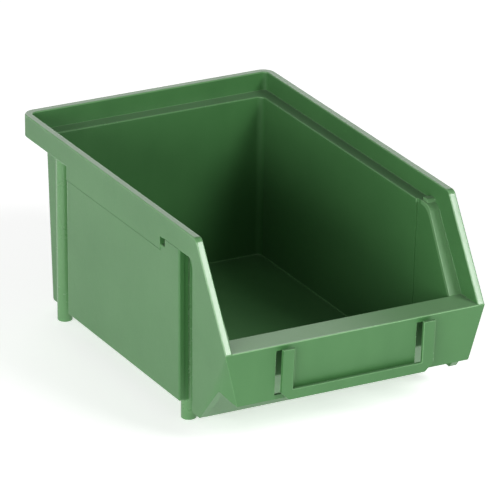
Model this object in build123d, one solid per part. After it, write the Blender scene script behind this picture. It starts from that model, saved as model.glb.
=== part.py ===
from build123d import *
import os

# Open-fronted stacking bin, millimetres, +Z up. The origin is at the bottom centre of the whole bin:
# the feet stand on z = 0, the back of the rim faces +Y and the label holder faces -Y.

# Overall sizes.
WIDTH = 104.0
DEPTH = 167.6
HEIGHT = 75.5

# Rim that runs round the sides and the back, and the ledge inside it.
RIM_BAND = 8.8
RIM_SIDE_WALL = 2.8
RIM_BACK_WALL = 3.2
RIM_CORNER = 5.0
LEDGE_DROP = 7.3

# Tub that holds the goods.
TUB_WALL = 1.9
FLOOR_THICKNESS = 1.8
TUB_CLEAR_OF_GROUND = 3.0
TUB_SIDE_INSET = 5.6
TUB_BACK_INSET = 7.2
TUB_DRAFT = 1.4
TUB_CORNER = 4.5

# Nose of the tub: where it starts, how it widens, and where its sloping underside meets the floor.
NOSE_START = 39.4
NOSE_STEP = 0.9
NOSE_DRAFT = 2.6
NOSE_FOOT = 30.5

# Open front: the slope, the lip and the shelf that joins ledge and lip.
FRONT_HEIGHT = 39.8
SLOPE_RUN = 22.9
LIP_DEPTH = 12.0
SLOPE_CORNER = 3.0
SHELF_RADIUS = 5.0
SHELF_FENCE = 1.2

# Apron below the lip, and the wings on either side with their notches.
APRON_WALL = 2.4
APRON_BOTTOM = 18.7
APRON_LEAN = 0.076
APRON_TAPER = 5.6
NOTCH_BACK = 7.8
NOTCH_TOP = 23.9
TIP_BACK = 19.5
WING_LENGTH = 25.5
SKIRT_BOTTOM = 8.5

# Side panels between the front and rear recesses.
PANEL_WALL = 2.0
SKIRT_ROUND = 1.4
PANEL_INSET = 0.3
PANEL_FRONT = 36.0
PANEL_BACK = 38.7
STRIP_HEIGHT = 5.2
STRIP_START = 18.4
SLOT_START = 11.4
SLOT_LENGTH = 3.0
SLOT_HEIGHT = 3.2

# Feet, and the stops on the ledge that keep the bin above from sliding forwards.
FOOT_DIAMETER = 5.4
FOOT_CHAMFER = 0.5
FOOT_CLEARANCE = 0.2
FRONT_FOOT = 38.5
REAR_FOOT = 24.5
STOP_LENGTH = 3.4
STOP_HEIGHT = 1.2
STOP_CLEARANCE = 0.5

# Label holder on the apron.
HOLDER_WIDTH = 60.6
HOLDER_BAR = 4.4
HOLDER_WALL = 1.4
HOLDER_FOOT = 3.9
HOLDER_TOP_DROP = 1.3
HOLDER_CHAMFER = 3.0
CARD_GAP = 1.2
CARD_SEAT = 2.4
WINDOW_MARGIN = 1.3

# Places that follow from the sizes above.
SIDE = WIDTH / 2
BACK = DEPTH / 2
HOLDER_PROUD = HOLDER_WALL + CARD_GAP
APRON_FACE = HOLDER_PROUD - DEPTH / 2 - HOLDER_TOP_DROP * APRON_LEAN
RIM_BOTTOM = HEIGHT - RIM_BAND
RIM_INNER = SIDE - RIM_SIDE_WALL
LEDGE_TOP = HEIGHT - LEDGE_DROP
LEDGE_WALL = LEDGE_TOP - RIM_BOTTOM
SLOPE_TOP = APRON_FACE + SLOPE_RUN
SLOPE_PER_MM = SLOPE_RUN / (HEIGHT - FRONT_HEIGHT)
LIP_BACK = APRON_FACE + LIP_DEPTH
FLOOR_TOP = TUB_CLEAR_OF_GROUND + FLOOR_THICKNESS
TUB_HALF = SIDE - TUB_SIDE_INSET
TUB_BACK = BACK - TUB_BACK_INSET
NOSE_HALF = TUB_HALF + NOSE_STEP
NOSE_BACK = APRON_FACE + NOSE_START
NOSE_FRONT = LIP_BACK - TUB_WALL
NOSE_LINE = APRON_FACE + NOSE_FOOT + TUB_CLEAR_OF_GROUND
NOSE_BEND = NOSE_LINE - NOSE_FRONT
WING_BACK = APRON_FACE + WING_LENGTH
PANEL_FRONT_Y = APRON_FACE + PANEL_FRONT
PANEL_BACK_Y = BACK - PANEL_BACK
HOLDER_TOP = FRONT_HEIGHT - HOLDER_TOP_DROP
BAR_BOTTOM = APRON_BOTTOM + HOLDER_FOOT
FOOT_X = RIM_INNER - FOOT_CLEARANCE - FOOT_DIAMETER / 2
FOOT_YS = {"front": APRON_FACE + FRONT_FOOT, "rear": BACK - REAR_FOOT}
ROOT_TWO = 2 ** 0.5


def block(low, high):
    """A box between two opposite corners."""
    size = [b - a for a, b in zip(low, high)]
    return Pos(*low) * Box(*size, align=(Align.MIN, Align.MIN, Align.MIN))


def side_prism(outline, x_low, x_high):
    """A (y, z) outline carried along X from x_low to x_high."""
    return Pos(x_low, 0, 0) * extrude(Plane.YZ * outline, x_high - x_low, dir=(1, 0, 0))


def front_prism(outline, y_low, y_high):
    """An (x, z) outline carried along Y from y_low to y_high."""
    return Pos(0, y_high, 0) * extrude(Plane.XZ * outline, y_high - y_low, dir=(0, -1, 0))


def shape(*points):
    return Polygon(*points, align=None)


def mirrored(solid, side):
    """The solid as drawn for the +X side, or its mirror image for the -X side."""
    return solid if side > 0 else mirror(solid, Plane.YZ)


def half_of(solid, side):
    """The part of a solid on one side of the bin's middle plane."""
    low, high = sorted((0, side * SIDE))
    return solid & block((low, -BACK, 0), (high, BACK, HEIGHT))


def rear_uprights(solid, half, back):
    """The two upright edges at a body's rear corners."""
    return [e for e in solid.edges() if abs(abs(e.center().X) - half) < TUB_DRAFT
            and abs(e.center().Y - back) < TUB_DRAFT and e.length > abs(e.bounding_box().size.X) * ROOT_TWO
            and e.bounding_box().size.Z > LEDGE_WALL / 2]


def side_wedge(side):
    """The space nearer to one side of the bin than to its back."""
    reach = SIDE - RIM_SIDE_WALL
    plan = shape((SIDE, BACK), (SIDE, -BACK), (SIDE - reach, -BACK), (SIDE - reach, BACK - reach))
    return mirrored(extrude(plan, HEIGHT, dir=(0, 0, 1)), side)


# Tub.

def tub_widths(wall):
    """The tub's widths at the rear and at the nose, less a wall on each side, full length."""
    step = NOSE_BACK - wall
    sections = []
    for half, draft, low, high in ((TUB_HALF, TUB_DRAFT, step, BACK), (NOSE_HALF, NOSE_DRAFT, -BACK, step)):
        top = half - wall
        foot = top - draft
        outline = shape((-foot, TUB_CLEAR_OF_GROUND), (foot, TUB_CLEAR_OF_GROUND), (top, LEDGE_TOP), (-top, LEDGE_TOP))
        sections.append(front_prism(outline, low, high))
    return sections[0] + sections[1]


def tub_body(wall):
    """The tub as a full body up to the ledge, less a wall all round."""
    back = TUB_BACK - wall
    front = NOSE_FRONT + wall
    line = NOSE_LINE + wall * ROOT_TWO
    outline = shape((back - TUB_DRAFT, TUB_CLEAR_OF_GROUND), (back, LEDGE_TOP), (front, LEDGE_TOP),
                    (front, line - front), (line - TUB_CLEAR_OF_GROUND, TUB_CLEAR_OF_GROUND))
    body = side_prism(outline, -SIDE, SIDE) & tub_widths(wall)
    corners = rear_uprights(body, TUB_HALF - wall - TUB_DRAFT / 2, back - TUB_DRAFT / 2)
    return fillet(corners, TUB_CORNER - wall)


def open_front(grow):
    """All the space above the ledge, the curved shelf and the lip, grown downwards by a thickness."""
    top = LIP_BACK + (LEDGE_TOP - FRONT_HEIGHT) * SLOPE_PER_MM
    plan = shape((-DEPTH, FRONT_HEIGHT), (LIP_BACK, FRONT_HEIGHT), (top, LEDGE_TOP), (DEPTH, LEDGE_TOP),
                 (DEPTH, 2 * HEIGHT), (-DEPTH, 2 * HEIGHT))
    plan = fillet(plan.vertices().filter_by(lambda v: abs(v.X - top) < LEDGE_WALL), SHELF_RADIUS)
    if grow:
        plan = offset(plan, grow, kind=Kind.INTERSECTION)
    return side_prism(plan, -WIDTH, WIDTH)


def hollow():
    return tub_body(TUB_WALL) & block((-SIDE, -BACK, FLOOR_TOP), (SIDE, BACK, HEIGHT))


def tub_shell():
    return tub_body(0) - open_front(LEDGE_WALL) - hollow()


def side_wall(shell, side):
    return half_of(shell - tub_widths(TUB_WALL), side) & side_wedge(side)


def between_sides(shell):
    """The floor, the back wall and the nose in one, without the two side walls."""
    return shell - side_wall(shell, 1) - side_wall(shell, -1)


def floor_pan(core):
    return core & block((-SIDE, -BACK, 0), (SIDE, BACK, FLOOR_TOP))


def back_wall(core):
    return core & block((-SIDE, 0, FLOOR_TOP), (SIDE, BACK, HEIGHT))


def nose_slope(core):
    return core & block((-SIDE, -BACK, FLOOR_TOP), (SIDE, 0, NOSE_BEND))


def nose_wall(core):
    return core & block((-SIDE, -BACK, NOSE_BEND), (SIDE, 0, HEIGHT))


# Rim, ledge, shelf and lip.

def rim_inside(low, high):
    """The space inside the rim between two heights, rounded at its rear corners."""
    body = block((-RIM_INNER, -BACK, low), (RIM_INNER, BACK - RIM_BACK_WALL, high))
    return fillet(rear_uprights(body, RIM_INNER, BACK - RIM_BACK_WALL), RIM_CORNER - RIM_SIDE_WALL)


def rim():
    outer = block((-SIDE, WING_BACK, RIM_BOTTOM), (SIDE, BACK, HEIGHT))
    outer = fillet(rear_uprights(outer, SIDE, BACK), RIM_CORNER)
    return outer - rim_inside(RIM_BOTTOM, HEIGHT)


def shelf():
    """The ledge, the curved shelves and the lip in one thickness, around the tub's hollow."""
    band = open_front(LEDGE_WALL) - open_front(0)
    return (band & rim_inside(0, HEIGHT)) - hollow() - ahead_of_apron(APRON_WALL)


def ledge_side(band, side):
    return band & side_wedge(side) & block((-SIDE, NOSE_BACK, 0), (SIDE, BACK, HEIGHT))


def curved_shelf(band, side):
    """The shelf down the slope, with the low fence that closes the recess behind the wing."""
    strip = half_of(band, side) & block((-SIDE, LIP_BACK, 0), (SIDE, NOSE_BACK, HEIGHT))
    fence = block((RIM_INNER, WING_BACK, 0), (RIM_INNER + SHELF_FENCE, NOSE_BACK, RIM_BOTTOM))
    return strip + mirrored(fence & open_front(LEDGE_WALL), side)


def lip(band):
    return (band & block((-SIDE, -BACK, 0), (SIDE, LIP_BACK, HEIGHT))) - wing(1) - wing(-1)


def foot_stop(side):
    """A low step on the ledge, just ahead of where the upper bin's front foot stands."""
    back = FOOT_YS["front"] - FOOT_DIAMETER / 2 - STOP_CLEARANCE
    low = (NOSE_HALF - TUB_WALL, back - STOP_LENGTH, RIM_BOTTOM - STOP_LENGTH)
    step = block(low, (RIM_INNER, back, LEDGE_TOP + STOP_HEIGHT))
    return mirrored(step & open_front(0), side)


# Apron and wings.

def apron_y(z):
    """Where the leaning front face of the apron stands at height z."""
    return APRON_FACE + (FRONT_HEIGHT - z) * APRON_LEAN


def apron_slab(near, far, low, high, half):
    """A slab that leans with the apron, from near to far behind its face."""
    outline = shape((apron_y(low) + near, low), (apron_y(low) + far, low),
                    (apron_y(high) + far, high), (apron_y(high) + near, high))
    return side_prism(outline, -half, half)


def ahead_of_apron(depth):
    return apron_slab(-DEPTH, depth, 0, HEIGHT, SIDE)


def corner_plane(side, inset):
    """The slanting face between wing and apron, moved into the wall by inset."""
    top = Vector(side * SIDE, APRON_FACE, FRONT_HEIGHT)
    notch = Vector(side * SIDE, APRON_FACE + NOTCH_BACK, NOTCH_TOP)
    foot = Vector(side * (SIDE - APRON_TAPER), apron_y(APRON_BOTTOM), APRON_BOTTOM)
    normal = (notch - top).cross(foot - top).normalized()
    outward = normal if normal.X * side > 0 else -normal
    return Plane(origin=top - outward * inset, z_dir=outward)


def skirt_body(wall, front_wall):
    """The front of the bin as a full body, with both lower corners slanted, less its walls."""
    body = apron_slab(front_wall, DEPTH, 0, HEIGHT, SIDE - wall)
    body = body & block((-SIDE, -BACK, 0), (SIDE, WING_BACK, HEIGHT))
    for side in (-1, 1):
        body = split(body, bisect_by=corner_plane(side, wall), keep=Keep.BOTTOM)
    return body


def wing_outline():
    plan = shape((WING_BACK, SKIRT_BOTTOM), (WING_BACK, HEIGHT), (SLOPE_TOP, HEIGHT), (APRON_FACE, FRONT_HEIGHT),
                 (-BACK, FRONT_HEIGHT), (-BACK, APRON_BOTTOM), (apron_y(APRON_BOTTOM), APRON_BOTTOM),
                 (APRON_FACE + NOTCH_BACK, NOTCH_TOP), (APRON_FACE + TIP_BACK, SKIRT_BOTTOM))
    corner = plan.vertices().filter_by(lambda v: v.Y > RIM_BOTTOM and v.X < WING_BACK - SHELF_FENCE)
    return fillet(corner, SLOPE_CORNER)


def upright_round(y, towards, top):
    """What a skirt's outer upright edge loses, below the given top, to be rounded."""
    centre = (SIDE - SKIRT_ROUND, y + towards * SKIRT_ROUND)
    corner = block((SIDE - SKIRT_ROUND, min(y, centre[1]), 0), (WIDTH, max(y, centre[1]), top))
    return corner - Pos(centre[0], centre[1], top / 2) * Cylinder(SKIRT_ROUND, top)


def apron_plate():
    return apron_slab(0, APRON_WALL, APRON_BOTTOM, FRONT_HEIGHT, RIM_INNER) & skirt_body(0, 0)


def apron():
    """The apron, open behind each bar of the label holder."""
    low = BAR_BOTTOM
    inner = HOLDER_WIDTH / 2 - HOLDER_BAR - WINDOW_MARGIN
    outer = HOLDER_WIDTH / 2 + WINDOW_MARGIN
    plate = apron_plate()
    for side in (-1, 1):
        plate = plate - mirrored(block((inner, -BACK, low), (outer, 0, HOLDER_TOP)), side)
    return plate


def wing(side):
    shell = skirt_body(0, 0) - skirt_body(RIM_SIDE_WALL, APRON_WALL)
    mouth = block((-RIM_INNER, -BACK, FRONT_HEIGHT), (RIM_INNER, BACK, HEIGHT))
    plate = half_of(side_prism(wing_outline(), -SIDE, SIDE) & shell, side) - apron_plate() - mouth
    return plate - mirrored(upright_round(WING_BACK, -1, RIM_BOTTOM), side)


# Side panels and feet.

def side_panel(side):
    """Flat skirt between the front and rear recesses, with a flush strip and a slot near its top."""
    face = SIDE - PANEL_INSET
    plate = block((face - PANEL_WALL, PANEL_FRONT_Y, SKIRT_BOTTOM), (face, PANEL_BACK_Y, RIM_BOTTOM))
    strip_low = (face, PANEL_FRONT_Y + STRIP_START, RIM_BOTTOM - STRIP_HEIGHT)
    strip = block(strip_low, (SIDE, PANEL_BACK_Y, RIM_BOTTOM))
    slot_y = PANEL_FRONT_Y + SLOT_START
    slot = block((0, slot_y, RIM_BOTTOM - SLOT_HEIGHT), (SIDE, slot_y + SLOT_LENGTH, RIM_BOTTOM))
    edge = Pos(-PANEL_INSET, 0, 0) * upright_round(PANEL_FRONT_Y, 1, RIM_BOTTOM)
    return mirrored(plate + strip - slot - edge, side)


def foot(side, y):
    post = Pos(FOOT_X, y, RIM_BOTTOM / 2) * Cylinder(FOOT_DIAMETER / 2, RIM_BOTTOM)
    post = chamfer(post.faces().sort_by(Axis.Z)[0].edges(), FOOT_CHAMFER)
    return mirrored(post - tub_body(0) - open_front(LEDGE_WALL), side)


# Label holder.

def holder_bar(side):
    outer = HOLDER_WIDTH / 2
    slab = apron_slab(-HOLDER_PROUD, -CARD_GAP, BAR_BOTTOM, HOLDER_TOP, SIDE)
    return mirrored(slab & block((outer - HOLDER_BAR, -BACK, 0), (outer, BACK, HEIGHT)), side)


def holder_foot():
    """The holder's bottom bar, with the seat under the card that joins it to the apron."""
    outer = HOLDER_WIDTH / 2
    bar = apron_slab(-HOLDER_PROUD, -CARD_GAP, APRON_BOTTOM, BAR_BOTTOM, outer)
    seat = apron_slab(-CARD_GAP, 0, APRON_BOTTOM, APRON_BOTTOM + CARD_SEAT, outer)
    chamfered = shape((-outer, HEIGHT), (-outer, APRON_BOTTOM + HOLDER_CHAMFER),
                      (HOLDER_CHAMFER - outer, APRON_BOTTOM), (outer - HOLDER_CHAMFER, APRON_BOTTOM),
                      (outer, APRON_BOTTOM + HOLDER_CHAMFER), (outer, HEIGHT))
    return (bar + seat) & front_prism(chamfered, -BACK, BACK)


def build():
    shell = tub_shell()
    core = between_sides(shell)
    ring = rim()
    band = shelf()
    rear = block((-SIDE, 0, 0), (SIDE, BACK, HEIGHT)) - side_wedge(1) - side_wedge(-1)
    nodes = {
        "floor_pan": floor_pan(core),
        "back_wall": back_wall(core),
        "nose_slope": nose_slope(core),
        "nose_wall": nose_wall(core),
        "rim_back": ring & rear,
        "ledge_back": band & rear,
        "front_lip": lip(band),
        "front_apron": apron(),
        "label_holder_foot": holder_foot(),
    }
    for name, side in (("left", -1), ("right", 1)):
        nodes[f"side_wall_{name}"] = side_wall(shell, side)
        nodes[f"rim_{name}"] = ring & side_wedge(side)
        nodes[f"ledge_{name}"] = ledge_side(band, side)
        nodes[f"curved_shelf_{name}"] = curved_shelf(band, side)
        nodes[f"foot_stop_{name}"] = foot_stop(side)
        nodes[f"front_wing_{name}"] = wing(side)
        nodes[f"side_panel_{name}"] = side_panel(side)
        nodes[f"label_holder_bar_{name}"] = holder_bar(side)
        for place, y in FOOT_YS.items():
            nodes[f"foot_{place}_{name}"] = foot(side, y)
    return nodes


os.makedirs("parts", exist_ok=True)
for node, solid in build().items():
    export_step(solid, f"parts/{node}.step")
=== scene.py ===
"""A small open-fronted stacking bin, finished as the single moulding it is.

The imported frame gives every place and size. Each sub-assembly of the bin is shaped in millimetres
from closed blocks of material, its edges are rounded as a mould rounds them, and the result is
stored in metres over the frame's own nodes. Everything rides on the one body, "root".
"""

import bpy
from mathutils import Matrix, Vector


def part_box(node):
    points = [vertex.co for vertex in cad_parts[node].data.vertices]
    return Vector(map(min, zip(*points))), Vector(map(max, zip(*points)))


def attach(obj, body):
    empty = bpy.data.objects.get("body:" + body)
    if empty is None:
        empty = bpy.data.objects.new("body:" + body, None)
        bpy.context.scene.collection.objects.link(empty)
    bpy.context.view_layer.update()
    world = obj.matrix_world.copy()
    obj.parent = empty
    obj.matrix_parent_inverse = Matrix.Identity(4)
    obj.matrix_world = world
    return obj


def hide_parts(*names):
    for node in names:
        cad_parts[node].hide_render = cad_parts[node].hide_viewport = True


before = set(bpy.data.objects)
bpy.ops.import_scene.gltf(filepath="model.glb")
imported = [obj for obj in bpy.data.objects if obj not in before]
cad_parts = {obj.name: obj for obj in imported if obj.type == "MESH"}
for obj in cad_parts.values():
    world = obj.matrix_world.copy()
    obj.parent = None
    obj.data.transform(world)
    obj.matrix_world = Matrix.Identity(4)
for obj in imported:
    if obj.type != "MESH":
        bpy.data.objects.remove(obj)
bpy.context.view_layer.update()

import logging
import math
from collections.abc import Callable, Sequence
from dataclasses import dataclass, field
from enum import Enum
from typing import Any, Union

import bmesh
import bpy
from mathutils import Matrix, Vector

LOG = logging.getLogger("stacking_bin")
MM = 0.001
BODY = "root"
# Share of the paler tint painted on the lip's top as a painted highlight.
LIP_PAINTED_HIGHLIGHT = 0.55
# Share of the paler tint on every rounded edge: part wear, part painted highlight.
EDGE_WEAR_AND_HIGHLIGHT = 0.7

# Millimetres: how far cutting blocks reach, the clearance they get past a face, and the weld distance.
FAR = 400.0
CLEAR = 5.0
OPEN_TOP = 20.0
WELD = 0.002
GRID_PLACES = 3

# What counts as flat, as a real corner, and as one smooth run of edges (as a cosine).
FLAT_ANGLE = math.radians(1.0)
SHARP_ANGLE = math.radians(25.0)
RUN_TURN = 0.85
STRAIGHT = 0.99998
RUN_STEPS = 30

# Roundings: facets of an arc and of an edge, and how much of a face an edge may take up.
ARC_STEPS = 8
EDGE_FACETS = 3
ROOM_SHARE = 0.42
ROOM_PLACES = (0.04, 0.5, 0.96)
TOUCHING = 0.01
SEAM_REACH = 0.1

Point2 = tuple[float, float]
Point3 = tuple[float, float, float]
Outline = list[Point2]
EdgeTest = Callable[[Vector], bool]
EdgeLimit = Callable[[Vector], float]


class Axis(Enum):
    """The row axis that an outline is carried along."""

    X = 0
    Y = 1
    Z = 2


class Work(Enum):
    """What one block of material does to another."""

    JOIN = "UNION"
    CUT = "DIFFERENCE"
    KEEP = "INTERSECT"


def placed(name: str, data: bpy.types.ID) -> bpy.types.Object:
    """Puts a new object in the scene, at the origin."""
    item = bpy.data.objects.new(name, data)
    bpy.context.scene.collection.objects.link(item)
    return item


def solved(item: bpy.types.Object) -> bpy.types.Mesh:
    """The plain mesh that an object's modifiers make."""
    graph = bpy.context.evaluated_depsgraph_get()
    return bpy.data.meshes.new_from_object(item.evaluated_get(graph))


def pair(name: str) -> tuple[str, str]:
    """The names of a part's left and right twins."""
    return f"{name}_left", f"{name}_right"


def plane(place: Sequence[float], normal: Sequence[float]) -> tuple[Vector, Vector]:
    """A trimming plane: a point on it, and its outward normal."""
    return Vector(place), Vector(normal)


# ---------------------------------------------------------------- sizes


def snapped(place: Sequence[float]) -> Vector:
    """A place on the tool's own fine grid, so that faces that meet are exactly flush."""
    return Vector([round(value, GRID_PLACES) for value in place])


def low(node: str) -> Vector:
    """Lowest corner of a CAD node, in millimetres."""
    return snapped(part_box(node)[0] / MM)


def high(node: str) -> Vector:
    """Highest corner of a CAD node, in millimetres."""
    return snapped(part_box(node)[1] / MM)


@dataclass(frozen=True)
class BinSizes:
    """Where the bin's faces stand, in millimetres, and the walls and drafts between them."""

    side: float
    back: float
    height: float
    rim_bottom: float
    rim_inner: float
    rim_inner_back: float
    ledge_top: float
    front_height: float
    apron_face: float
    apron_bottom: float
    lip_back: float
    wing_back: float
    skirt_bottom: float
    panel_front: float
    panel_back: float
    floor_bottom: float
    floor_top: float
    side_wall: float = 2.8
    tub_wall: float = 1.9
    tub_half: float = 46.4
    tub_draft: float = 1.4
    tub_back: float = 76.6
    tub_corner: float = 4.5
    nose_step: float = 0.9
    nose_draft: float = 2.6
    nose_start: float = 39.4
    nose_foot: float = 30.5
    slope_run: float = 22.9
    shelf_radius: float = 5.0
    apron_wall: float = 2.4
    apron_lean: float = 0.076

    @classmethod
    def from_frame(cls) -> "BinSizes":
        """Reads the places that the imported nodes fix."""
        return cls(
            side=high("rim_right").x,
            back=high("rim_back").y,
            height=high("rim_back").z,
            rim_bottom=low("rim_back").z,
            rim_inner=high("front_lip").x,
            rim_inner_back=high("ledge_back").y,
            ledge_top=high("ledge_back").z,
            front_height=high("front_apron").z,
            apron_face=low("front_apron").y,
            apron_bottom=low("front_apron").z,
            lip_back=high("front_lip").y,
            wing_back=high("front_wing_right").y,
            skirt_bottom=low("side_panel_right").z,
            panel_front=low("side_panel_right").y,
            panel_back=high("side_panel_right").y,
            floor_bottom=low("floor_pan").z,
            floor_top=high("floor_pan").z,
        )

    @property
    def slope_per_mm(self) -> float:
        """How far the open front's slope runs back for each millimetre it rises."""
        return self.slope_run / (self.height - self.front_height)

    @property
    def slope_top(self) -> float:
        """Where the slope meets the rim's top."""
        return self.apron_face + self.slope_run

    @property
    def ledge_wall(self) -> float:
        """Thickness of the ledge, the shelf and the lip."""
        return self.ledge_top - self.rim_bottom

    @property
    def nose_back(self) -> float:
        """Where the tub widens towards the front, on its outside."""
        return self.apron_face + self.nose_start

    def apron_y(self, z: float) -> float:
        """Where the leaning apron's face stands at height z."""
        return self.apron_face + (self.front_height - z) * self.apron_lean

    def tub_half_at(self, z: float, wall: float) -> float:
        """Half the tub's width behind its nose at height z, less a wall."""
        drop = (self.ledge_top - z) / (self.ledge_top - self.floor_bottom)
        return self.tub_half - wall - self.tub_draft * drop


# ---------------------------------------------------------------- outlines and blocks


def rounded(points: Sequence[Point2], radii: dict[int, float]) -> Outline:
    """Rounds chosen corners of an outline.

    Args:
        points: The outline's corners in order.
        radii: Radius by the corner's index.

    Returns:
        The outline with an arc in place of each chosen corner.
    """
    made: Outline = []
    count = len(points)
    for index, point in enumerate(points):
        radius = radii.get(index)
        if not radius:
            made.append(point)
            continue
        corner = Vector(point)
        before = (Vector(points[index - 1]) - corner).normalized()
        after = (Vector(points[(index + 1) % count]) - corner).normalized()
        half = before.angle(after) / 2
        centre = corner + (before + after).normalized() * (radius / math.sin(half))
        start = corner + before * (radius / math.tan(half)) - centre
        end = corner + after * (radius / math.tan(half)) - centre
        sweep = math.atan2(start.x * end.y - start.y * end.x, start.dot(end))
        for step in range(ARC_STEPS + 1):
            turned = start.copy()
            turned.rotate(Matrix.Rotation(sweep * step / ARC_STEPS, 2))
            made.append(tuple(centre + turned))
    return made


def box_outline(low_corner: Point2, high_corner: Point2) -> Outline:
    """The four corners of a rectangle."""
    return [low_corner, (high_corner[0], low_corner[1]), high_corner, (low_corner[0], high_corner[1])]


@dataclass
class Block:
    """A closed block of material under the tools, in millimetres."""

    mesh: bpy.types.Mesh

    @classmethod
    def from_bmesh(cls, made: bmesh.types.BMesh) -> "Block":
        """Takes over a bmesh, with its faces turned outwards."""
        for vert in made.verts:
            vert.co = snapped(vert.co)
        bmesh.ops.recalc_face_normals(made, faces=made.faces[:])
        mesh = bpy.data.meshes.new("block")
        made.to_mesh(mesh)
        made.free()
        return cls(mesh)

    @classmethod
    def prism(cls, outline: Sequence[Point2], axis: Axis, start: float, end: float) -> "Block":
        """Carries an outline along an axis.

        Args:
            outline: Corners in the plane of the two other axes, in X, Y, Z order.
            axis: The axis to carry it along.
            start: Where it begins on that axis.
            end: Where it ends.

        Returns:
            The closed block.
        """
        made = bmesh.new()
        rings = []
        for along in (start, end):
            ring = []
            for first, second in outline:
                place = [first, second]
                place.insert(axis.value, along)
                ring.append(made.verts.new(place))
            rings.append(ring)
            made.faces.new(ring)
        count = len(outline)
        for index in range(count):
            after = (index + 1) % count
            made.faces.new((rings[0][index], rings[0][after], rings[1][after], rings[1][index]))
        return cls.from_bmesh(made)

    @classmethod
    def from_planes(
        cls, planes: Sequence[tuple[Vector, Vector]], rounds: dict[EdgeTest, float] | None = None
    ) -> "Block":
        """Trims a large cube by planes.

        Args:
            planes: A point and an outward normal for each.
            rounds: Radii for the edges whose middle passes a test.

        Returns:
            The convex block behind all the planes.
        """
        made = bmesh.new()
        bmesh.ops.create_cube(made, size=FAR)
        for point, normal in planes:
            every = made.verts[:] + made.edges[:] + made.faces[:]
            cut = bmesh.ops.bisect_plane(
                made, geom=every, plane_co=point, plane_no=normal, clear_outer=True
            )
            rim = [item for item in cut["geom_cut"] if isinstance(item, bmesh.types.BMEdge)]
            if rim:
                bmesh.ops.contextual_create(made, geom=rim)
        for test, radius in (rounds or {}).items():
            chosen = [edge for edge in made.edges if test((edge.verts[0].co + edge.verts[1].co) / 2)]
            bmesh.ops.bevel(
                made, geom=chosen, offset=radius, segments=ARC_STEPS, profile=0.5, affect="EDGES"
            )
        return cls.from_bmesh(made)

    def work(self, tool: "Block", kind: Work) -> "Block":
        """Joins, cuts or trims this block by another, and returns it."""
        target, other = placed("target", self.mesh), placed("tool", tool.mesh)
        modifier = target.modifiers.new("work", "BOOLEAN")
        modifier.operation = kind.value
        modifier.solver = "EXACT"
        modifier.object = other
        result = solved(target)
        for item in (target, other):
            bpy.data.objects.remove(item)
        for mesh in (self.mesh, tool.mesh):
            bpy.data.meshes.remove(mesh)
        self.mesh = result
        return self

    def join(self, *tools: "Block") -> "Block":
        """Joins other blocks to this one."""
        for tool in tools:
            self.work(tool, Work.JOIN)
        return self

    def cut(self, *tools: "Block") -> "Block":
        """Cuts other blocks out of this one."""
        for tool in tools:
            self.work(tool, Work.CUT)
        return self

    def copy(self) -> "Block":
        """A second block of the same shape."""
        return Block(self.mesh.copy())

    def move(self, change: Matrix) -> "Block":
        """Moves the block by a matrix."""
        self.mesh.transform(change)
        return self

    def finish(
        self, name: str, radius: float, limit: EdgeLimit | None = None, inner: float = 1.0
    ) -> bpy.types.Object:
        """Cleans the block, rounds its edges and stores it in metres.

        Args:
            name: The piece's name.
            radius: Radius of the mould's edge rounding, in millimetres.
            limit: Gives the largest radius allowed at a place, where that is less.
            inner: Largest radius of an inward corner.

        Returns:
            The finished object.
        """
        made = bmesh.new()
        made.from_mesh(self.mesh)
        bmesh.ops.remove_doubles(made, verts=made.verts[:], dist=WELD)
        bmesh.ops.dissolve_degenerate(made, edges=made.edges[:], dist=WELD)
        bmesh.ops.dissolve_limit(made, angle_limit=FLAT_ANGLE, verts=made.verts[:], edges=made.edges[:])
        loose = [edge for edge in made.edges if not edge.link_faces]
        bmesh.ops.delete(made, geom=loose, context="EDGES")
        weights = made.edges.layers.float.new("bevel_weight_edge")
        sharp = [edge for edge in made.edges if is_sharp(edge)]
        allowed = {}
        for edge in sharp if radius > 0 else []:
            middle = (edge.verts[0].co + edge.verts[1].co) / 2
            most = radius if edge.is_convex else min(radius, inner)
            allowed[edge] = min(most, edge_room(edge), limit(middle) if limit else radius)
        level_along_curves(allowed)
        for edge, room in allowed.items():
            edge[weights] = room / radius
        bmesh.ops.recalc_face_normals(made, faces=made.faces[:])
        made.to_mesh(self.mesh)
        made.free()
        self.mesh.name = name
        piece = placed(name, self.mesh)
        if radius > 0:
            rounding = piece.modifiers.new("rounding", "BEVEL")
            rounding.limit_method = "WEIGHT"
            rounding.width, rounding.segments = radius, EDGE_FACETS
            rounding.use_clamp_overlap = False
            rounding.loop_slide = True
            # Rounded edges take the second finish, which tints them paler as wear and as a painted
            # highlight.
            rounding.material = 1
            for _ in range(2):
                piece.data.materials.append(None)
            piece.data = solved(piece)
            piece.modifiers.clear()
        piece.data.transform(Matrix.Scale(MM, 4))
        for polygon in piece.data.polygons:
            polygon.use_smooth = True
        piece.data.set_sharp_from_angle(angle=SHARP_ANGLE)
        weighted = piece.modifiers.new("weighted", "WEIGHTED_NORMAL")
        weighted.keep_sharp = True
        return piece


def mirrored(block: Block) -> Block:
    """The block's mirror image across the bin's middle, with its faces outwards."""
    twin = block.copy()
    twin.mesh.transform(Matrix.Scale(-1, 4, Vector((1, 0, 0))))
    twin.mesh.flip_normals()
    return twin


def cuboid(low_corner: Sequence[float], high_corner: Sequence[float]) -> Block:
    """A block between two opposite corners."""
    outline = box_outline((low_corner[0], low_corner[1]), (high_corner[0], high_corner[1]))
    return Block.prism(outline, Axis.Z, low_corner[2], high_corner[2])


def is_sharp(edge: bmesh.types.BMEdge) -> bool:
    """Whether two faces meet at this edge at a real corner."""
    return len(edge.link_faces) == 2 and edge.calc_face_angle(0.0) > SHARP_ANGLE


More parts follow.
